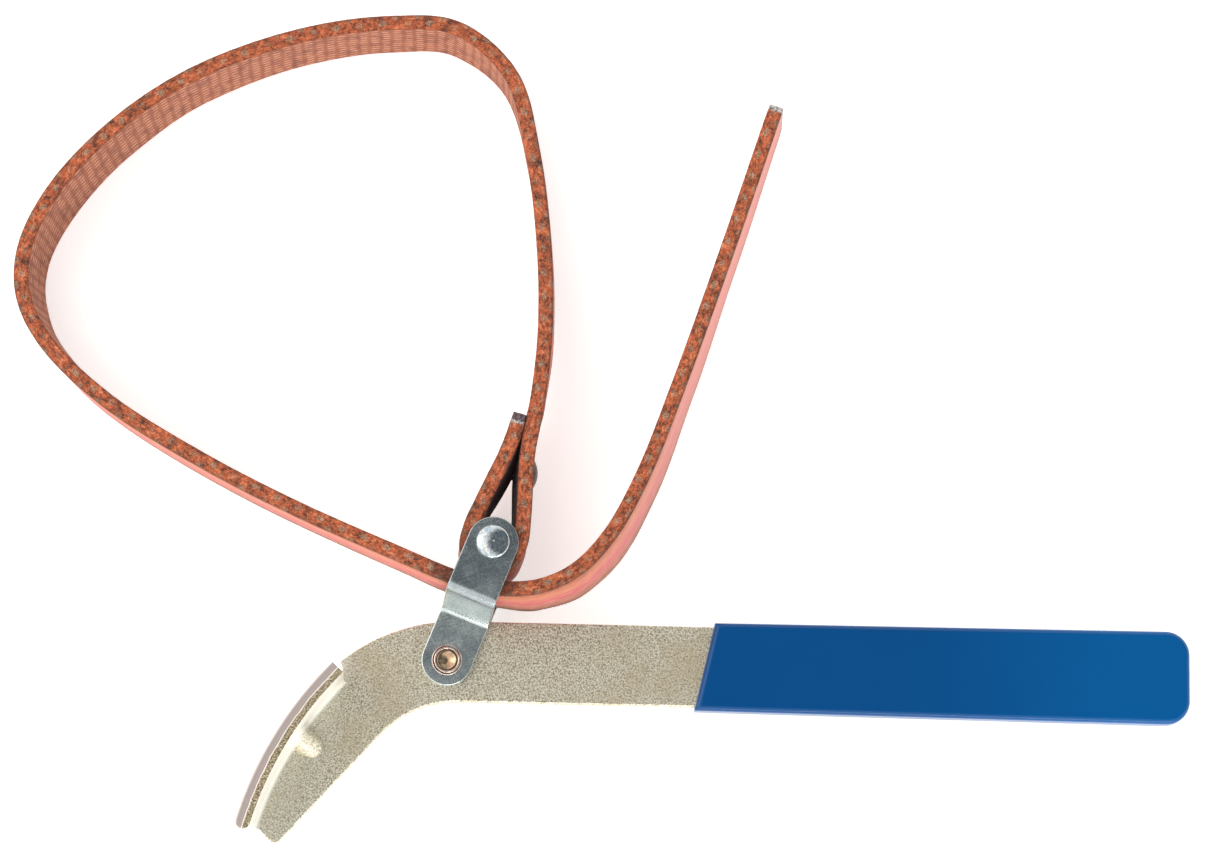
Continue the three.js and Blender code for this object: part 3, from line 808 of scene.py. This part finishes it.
def sheared_look():
    """The flange's cut edge: a burnished outer band with fine streaks and a torn, dark inner one."""
    look = Look("sheared_edge")
    spot = look.place()
    radius = from_flange_centre(look, spot)
    depth = look.minus(FLANGE["radius"], radius)
    wander = look.times(look.minus(look.clouds(spot, 0.45, 3), 0.5), 0.5)
    border = look.plus(depth, wander)
    torn = look.between(border, 2.05, 2.2)
    rim = look.times(look.between(border, 1.85, 2.0), look.between(border, 2.3, 2.15))
    streak = look.clouds(look.join(radius, 0.0, 0.0), 5.0, 4, 0.7)
    burnished = look.tints(streak, [(0.35, 150, 134, 131), (0.65, 212, 200, 195)])
    grit = look.clouds(spot, 2.4, 3, 0.7)
    fracture = look.tints(grit, [
        (0.38, 78, 66, 50), (0.48, 142, 127, 100),
        (0.58, 196, 184, 152), (0.68, 244, 238, 218),
    ])
    colour = look.mixed(torn, burnished, fracture)
    colour = look.mixed(rim, colour, linear(246, 232, 224))
    metal = look.between(torn, 0, 1, 0.35, 0.5)
    rough = look.between(torn, 0, 1, 0.38, 0.6)
    height = look.times(grit, torn)
    normal = look.bump(height, 0.25, 0.8)
    return look.drive(colour, rough, Metallic=metal, Normal=normal)


def bright_zinc_look():
    """Bright bluish zinc: nearly even, with fine scratches both ways and specks of duller plating."""
    look = Look("bright_zinc", Metallic=0.95)
    spot = look.place()
    cloud = look.clouds(spot, 0.16, 3, 0.55)
    turn = look.node("VectorRotate", {"Vector": spot, "Angle": math.radians(-21)}, rotation_type="Z_AXIS")
    long_marks = look.clouds(look.scaled(turn, 6, 0.25, 1), 1.0, 3, 0.7)
    cross_marks = look.clouds(look.scaled(turn, 0.35, 5, 1), 1.0, 3, 0.7)
    specks = look.clouds(spot, 2.2, 3, 0.7)
    marks = look.plus(look.times(long_marks, 0.5), look.times(cross_marks, 0.5))
    tone = look.plus(look.times(marks, 0.5), look.plus(look.times(cloud, 0.25), look.times(specks, 0.25)))
    colour = look.tints(tone, [(0.4, 142, 150, 154), (0.5, 162, 170, 173), (0.62, 198, 205, 206)])
    z = look.split(spot)[2]
    # Painted light: below the front link's raised part, and on the rear link and bush, the zinc gets a
    # lighter tint.
    pale = look.times(look.between(z, FRONT_LINK_HIGH - 0.5, FRONT_LINK_HIGH - 3), 0.75)
    lower = look.tints(tone, [(0.4, 176, 186, 186), (0.6, 236, 242, 240)])
    colour = look.mixed(pale, colour, lower)
    rough = look.between(tone, 0.42, 0.6, 0.2, 0.32)
    return look.drive(colour, rough, Normal=look.bump(marks, 0.01, 0.5))


def polished_look():
    """Polished steel with blue-grey handling marks."""
    look = Look("polished_steel", Metallic=1.0)
    spot = look.place()
    scuffs = look.clouds(spot, 1.3, 5, 0.75, 0.8)
    colour = look.tints(scuffs, [(0.4, 150, 172, 190), (0.52, 196, 202, 204), (0.62, 236, 232, 222)])
    rough = look.between(scuffs, 0.45, 0.65, 0.06, 0.18)
    return look.drive(colour, rough, Normal=look.bump(scuffs, 0.06, 0.5))


def copper_look():
    """Copper-plated rivet: pinkish silver on the rims, gold in the dish, and painted shade in its two
    grooves.
    """
    look = Look("copper_plate", Metallic=1.0)
    spot = look.place()
    x, y, _ = look.split(spot)
    radius = look.distance(look.join(x, y, 0.0), (PIVOT.x, PIVOT.y, 0))
    tarnish = look.clouds(spot, 0.9, 2, 0.5)
    gold = look.tints(tarnish, [(0.35, 156, 128, 104), (0.65, 204, 176, 146)])
    rim = look.tints(tarnish, [(0.35, 196, 176, 166), (0.65, 228, 212, 202)])
    colour = look.mixed(look.between(radius, 2.35, 2.6), gold, rim)
    # Painted shade: the two grooves are darkened.
    outer_groove = look.times(look.between(radius, 3.24, 3.32), look.between(radius, 3.46, 3.38))
    inner_groove = look.times(look.between(radius, 2.4, 2.48), look.between(radius, 2.72, 2.64))
    groove = look.plus(outer_groove, inner_groove)
    colour = look.mixed(look.times(groove, 0.9), colour, linear(48, 38, 34))
    return look.drive(colour, look.between(tarnish, 0.4, 0.7, 0.2, 0.34))


def dark_steel_look():
    look = Look("dark_steel", Metallic=0.85)
    spot = look.place()
    wear = look.clouds(spot, 1.3, 5, 0.7)
    colour = look.tints(wear, [(0.4, 40, 32, 38), (0.68, 120, 108, 104)])
    return look.drive(colour, look.between(wear, 0.4, 0.7, 0.3, 0.5), Normal=look.bump(wear, 0.05, 0.5))


def vinyl_look():
    """Dipped vinyl: deep glossy blue, a little lighter towards the end, faintly uneven from the dip."""
    look = Look("blue_vinyl", IOR=1.5, Specular_IOR_Level=0.28)
    spot = look.place()
    x = look.split(spot)[0]
    drift = look.clouds(spot, 0.05, 2, 0.5)
    share = look.plus(look.between(x, 0.07 / MM, 0.15 / MM), look.times(drift, 0.25))
    colour = look.tints(share, [(0.1, 0, 71, 130), (1.0, 0, 85, 148)])
    ripple = look.clouds(look.scaled(spot, 0.5, 1, 1), 0.12, 2, 0.5)
    return look.drive(colour, look.between(drift, 0.3, 0.7, 0.14, 0.2), Normal=look.bump(ripple, 0.25, 0.35))


def with_sealed_ends(look, colour, spot, distance, total):
    """Adds purplish char at the sealed start, with a pale crust where it stops, and a pale grey tail."""
    near_start = look.between(distance, 2.9, 2.3)
    near_tail = look.between(distance, total - 1.6, total - 1.2)
    share = look.plus(near_start, near_tail)
    soot = look.clouds(spot, 1.7, 4, 0.8)
    char = look.tints(soot, [(0.4, 58, 44, 52), (0.6, 116, 98, 104)])
    crust = look.tints(soot, [(0.42, 96, 80, 82), (0.56, 214, 206, 204)])
    sealed = look.mixed(look.between(distance, 1.7, 2.1), char, crust)
    return look.mixed(share, colour, sealed)


def painted_shade_in_v(look, spot):
    """Share of painted shade, near black, in the narrow V between the strap's two legs, in the shade of the
    pin.
    """
    centre = (PIVOT.x + 14.2, PIVOT.y + 42, 13)
    away = look.node("VectorMath", {0: spot, 1: centre}, operation="SUBTRACT")
    flat = look.scaled(away, 0.16, 0.055, 0.04)
    return look.between(look.length(flat), 1.1, 0.75)


def strap_inner_look(total):
    """Reddish brown face with columns of light stitches that stagger from one column to the next."""
    look = Look("strap_inner_face")
    mark = look.attribute("strap_mm")
    spot = look.place()
    distance, up, _ = look.split(mark)
    wander = look.times(look.clouds(spot, 0.3, 2), 0.5)
    column = look.plus(look.math("DIVIDE", distance, 2.9), wander)
    odd = look.times(look.math("MODULO", look.math("FLOOR", column), 2.0), 0.5)
    row = look.plus(look.math("DIVIDE", up, 1.75), odd)
    in_column = look.math("ABSOLUTE", look.minus(look.math("FRACT", column), 0.5))
    in_row = look.math("ABSOLUTE", look.minus(look.math("FRACT", row), 0.5))
    stitch = look.times(look.between(in_column, 0.42, 0.2), look.between(in_row, 0.34, 0.12))
    fibre = look.clouds(look.scaled(mark, 0.5, 4, 1), 1.0, 3, 0.6)
    patch = look.clouds(spot, 0.28, 3, 0.6)
    tone = look.plus(look.times(fibre, 0.5), look.times(patch, 0.5))
    ground = look.tints(tone, [(0.36, 112, 62, 46), (0.46, 146, 84, 62), (0.6, 168, 102, 74)])
    thread = look.tints(fibre, [(0.35, 188, 124, 96), (0.65, 220, 164, 132)])
    worn = look.between(patch, 0.38, 0.5, 0.45, 0.9)
    colour = look.mixed(look.times(stitch, worn), ground, thread)
    colour = with_sealed_ends(look, colour, spot, distance, total)
    # Painted shade: near black in the V between the legs.
    colour = look.mixed(look.times(painted_shade_in_v(look, spot), 0.93), colour, linear(26, 16, 28))
    border = look.between(look.math("ABSOLUTE", up), 9.2, 9.7)
    colour = look.mixed(look.times(border, 0.3), colour, linear(92, 48, 34))
    height = look.plus(stitch, look.times(fibre, 0.5))
    return look.drive(colour, look.between(fibre, 0.3, 0.7, 0.75, 0.9), Normal=look.bump(height, 0.2, 0.9))


def strap_edge_look(total):
    """Mottled orange and brown warp turns, with the weft's pale ends in two staggered rows."""
    look = Look("strap_edge")
    mark = look.attribute("strap_mm")
    distance, out, _ = look.split(mark)
    spot = look.place()
    wander = look.node("TexNoise", {"Vector": spot, "Scale": 0.8, "Detail": 2.0}, "Color")
    shifted = look.node("VectorMath", {0: wander, 1: (-0.5, -0.5, -0.5)}, operation="ADD")
    moved = look.node("VectorMath", {0: mark, 1: look.scaled(shifted, 1.8, 1.0, 0)}, operation="ADD")
    along_strap, across_edge, _ = look.split(moved)

    def knots(row, shift, size):
        share = look.plus(look.math("DIVIDE", along_strap, KNOT_PITCH), shift)
        near = look.times(look.minus(share, look.math("ROUND", share)), KNOT_PITCH)
        flat = look.join(near, look.times(look.minus(across_edge, row), 1.2), 0.0)
        return look.between(look.length(flat), size, size * 0.45)

    first, second = knots(KNOT_ROWS[0], 0.0, 1.35), knots(KNOT_ROWS[1], 0.5, 1.25)
    knot = look.math("MAXIMUM", first, look.times(second, 0.8))
    fleck = look.clouds(look.scaled(mark, 0.8, 1.2, 1), 1.1, 4, 0.7, 0.6)
    patch = look.clouds(spot, 0.35, 2, 0.5)
    fine = look.clouds(spot, 3.0, 3, 0.65)
    tone = look.plus(look.times(fleck, 0.5), look.plus(look.times(patch, 0.25), look.times(fine, 0.25)))
    ground = look.tints(tone, [
        (0.39, 62, 36, 28), (0.45, 116, 62, 40),
        (0.505, 172, 86, 52), (0.56, 206, 108, 66),
        (0.63, 224, 150, 114),
    ])
    pale = look.tints(fine, [(0.38, 104, 80, 62), (0.5, 154, 124, 98), (0.62, 196, 172, 148)])
    shown = look.between(look.clouds(spot, 0.45, 2), 0.36, 0.56, 0.15, 0.72)
    colour = look.mixed(look.times(knot, shown), ground, pale)
    shadow_side = look.between(out, -0.9, -1.9)
    colour = look.mixed(look.times(shadow_side, 0.45), colour, linear(78, 52, 42))
    colour = with_sealed_ends(look, colour, spot, distance, total)
    # Painted shade: the edge darkens under the front link's raised end.
    to_shade_under_link = look.distance(spot, (PIVOT.x + 6.5, PIVOT.y + 20, 23))
    colour = look.mixed(look.between(to_shade_under_link, 13, 7, 0, 0.6), colour, linear(66, 40, 34))
    border = look.between(look.math("ABSOLUTE", out), 1.5, 1.9)
    colour = look.mixed(look.times(border, 0.35), colour, linear(70, 38, 30))
    height = look.plus(look.times(fleck, 0.8), look.times(fine, 0.5))
    return look.drive(colour, look.between(tone, 0.3, 0.7, 0.75, 0.9), Normal=look.bump(height, 0.3, 0.9))


def strap_outer_look(total):
    """Salmon pink face with lengthwise lines: peach at the top, hot pink below the middle, a tan border."""
    look = Look("strap_outer_face")
    mark = look.attribute("strap_mm")
    spot = look.place()
    distance, up, _ = look.split(mark)
    line = look.clouds(look.scaled(mark, 0.22, 2.6, 1), 1.0, 4, 0.7)
    fade = look.clouds(look.scaled(mark, 0.035, 0.3, 1), 1.0, 2, 0.5)
    height = look.plus(up, look.times(look.minus(fade, 0.5), 5.0))
    share = look.between(height, -11, 11)
    base = look.tints(share, [
        (0.0, 96, 58, 44), (0.1, 158, 96, 76),
        (0.24, 190, 108, 98), (0.42, 202, 86, 98),
        (0.58, 204, 104, 100), (0.76, 206, 126, 98),
        (0.92, 190, 104, 70), (1.0, 150, 80, 52),
    ])
    thread = look.between(line, 0.5, 0.62, 0, 0.6)
    colour = look.mixed(thread, base, linear(228, 170, 140))
    shade = look.between(line, 0.48, 0.38, 0, 0.5)
    colour = look.mixed(shade, colour, linear(156, 78, 62))
    faded_tail = look.between(distance, total - 150, total - 50, 0, 0.6)
    colour = look.mixed(faded_tail, colour, linear(220, 152, 144))
    colour = with_sealed_ends(look, colour, spot, distance, total)
    border = look.between(look.math("ABSOLUTE", up), 9.1, 9.6)
    colour = look.mixed(look.times(border, 0.6), colour, linear(104, 58, 44))
    return look.drive(colour, look.between(line, 0.3, 0.7, 0.6, 0.75), Normal=look.bump(line, 0.1, 0.6))


def strap_end_look():
    """Heat-sealed cut end."""
    look = Look("strap_sealed_end")
    spot = look.place()
    soot = look.clouds(spot, 1.7, 4, 0.8)
    colour = look.tints(soot, [(0.4, 62, 48, 54), (0.6, 150, 136, 138)])
    return look.drive(colour, look.clouds(spot, 1.2), Normal=look.bump(look.clouds(spot, 1.6, 3), 0.4, 0.8))


def floor_look():
    """White acrylic that glows a little, as a light table does, so that shadows stay faint."""
    look = Look("pale_floor", Emission_Strength=0.55, Emission_Color=(1, 1, 1, 1))
    spot = look.place()
    drift = look.clouds(spot, 0.01, 2)
    return look.drive(look.ramp(drift, [(0.3, (0.88, 0.88, 0.88, 1)), (0.7, (0.9, 0.9, 0.9, 1))]), 0.9)


# ---- Stage ----

ROOM_BRIGHTNESS = 1.35
DARK_PATCH = {"toward": (0.4, 0.12, 0.91), "core": 35, "edge": 40}
CAMERA = {"lens": 132.97, "from_pivot": (-8.06, -148.93, 1122.88)}
CAMERA_BACK = Vector((-0.041587, -0.183666, 0.982109))
CAMERA_RIGHT = Vector((0.998839, 0.016269, 0.045338))
FLOOR_HALF = 3.0


def add_camera():
    """Almost straight above, 11 degrees off towards -Y, at a distance that is an estimate."""
    camera = bpy.data.cameras.new("camera")
    camera.lens = CAMERA["lens"]
    camera.sensor_width = 36
    camera.clip_end = 20
    obj = bpy.data.objects.new("camera", camera)
    obj.location = (Vector(CAMERA["from_pivot"]) + PIVOT) * MM
    up = CAMERA_BACK.cross(CAMERA_RIGHT).normalized()
    obj.rotation_euler = Matrix((CAMERA_RIGHT, up, CAMERA_BACK)).transposed().to_euler()
    bpy.context.scene.collection.objects.link(obj)
    bpy.context.scene.camera = obj


def add_light(name, spot, size, power, colour=(1, 1, 1)):
    """A soft box that faces the middle of the wrench; spot is in metres."""
    light = bpy.data.lights.new(name, "AREA")
    light.shape = "RECTANGLE"
    light.size, light.size_y = size
    light.energy = power
    light.color = colour
    obj = bpy.data.objects.new(name, light)
    obj.location = spot
    obj.rotation_euler = Vector(spot).to_track_quat("Z", "Y").to_euler()
    bpy.context.scene.collection.objects.link(obj)


def add_surroundings():
    """A white room with a darker patch overhead, a little to the right, where the flat metal looks."""
    world = bpy.data.worlds.new("studio")
    world.use_nodes = True
    bpy.context.scene.world = world
    nodes, links = world.node_tree.nodes, world.node_tree.links
    direction = nodes.new("ShaderNodeTexCoord")
    toward = nodes.new("ShaderNodeVectorMath")
    toward.operation = "DOT_PRODUCT"
    toward.inputs[1].default_value = Vector(DARK_PATCH["toward"]).normalized()
    ramp = nodes.new("ShaderNodeValToRGB")
    links.new(direction.outputs["Generated"], toward.inputs[0])
    links.new(toward.outputs["Value"], ramp.inputs[0])
    links.new(ramp.outputs[0], nodes["Background"].inputs["Color"])
    edge, core = (math.cos(math.radians(DARK_PATCH[key])) for key in ("edge", "core"))
    elements = ramp.color_ramp.elements
    elements[0].position, elements[0].color = edge, (1, 0.985, 0.96, 1)
    elements[1].position, elements[1].color = core, (0.15, 0.165, 0.175, 1)
    nodes["Background"].inputs["Strength"].default_value = ROOM_BRIGHTNESS


def add_floor():
    mesh = bpy.data.meshes.new("floor")
    corners = [(x * FLOOR_HALF, y * FLOOR_HALF, 0) for x, y in ((-1, -1), (1, -1), (1, 1), (-1, 1))]
    mesh.from_pydata(corners, [], [(0, 1, 2, 3)])
    mesh.materials.append(floor_look())
    obj = bpy.data.objects.new("floor", mesh)
    bpy.context.scene.collection.objects.link(obj)


def place(obj, body, node, slot):
    """The detailed piece takes its CAD node's place."""
    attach(obj, body)
    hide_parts(node)


def main():
    zinc, sheared, bright = zinc_look(), sheared_look(), bright_zinc_look()
    dark = dark_steel_look()
    place(handle_bar([zinc, sheared]), "handle", "handle_bar", "zinc_steel")
    place(grip(vinyl_look()), "handle", "grip_sleeve", "grip_vinyl")
    place(pivot_rivet(copper_look()), "handle", "pivot_rivet", "copper_rivet")
    place(front_link(bright), "links", "front_link", "bright_zinc")
    place(rear_link(bright), "links", "rear_link", "bright_zinc")
    place(strap_pin(polished_look()), "links", "strap_pin", "polished_steel")
    place(pin_bush(bright), "links", "pin_bush", "bright_zinc")
    total = strap_stations()[1]
    looks = [strap_inner_look(total), strap_edge_look(total), strap_outer_look(total), strap_end_look()]
    webbing = strap(looks)
    place(webbing, "strap", "strap", "webbing")
    place(strap_rivet(dark), "strap", "strap_rivet", "dark_steel")
    place(strap_washer(dark), "strap", "strap_washer", "dark_steel")

    add_camera()
    add_floor()
    add_surroundings()
    add_light("left_box", (-1.1, 0.15, 0.8), (0.9, 1.1), 5, (1, 0.95, 0.88))
    add_light("near_strip", (0.15, -1.2, 0.3), (1.2, 0.1), 5)
    bpy.context.scene.view_settings.view_transform = "Standard"


main()
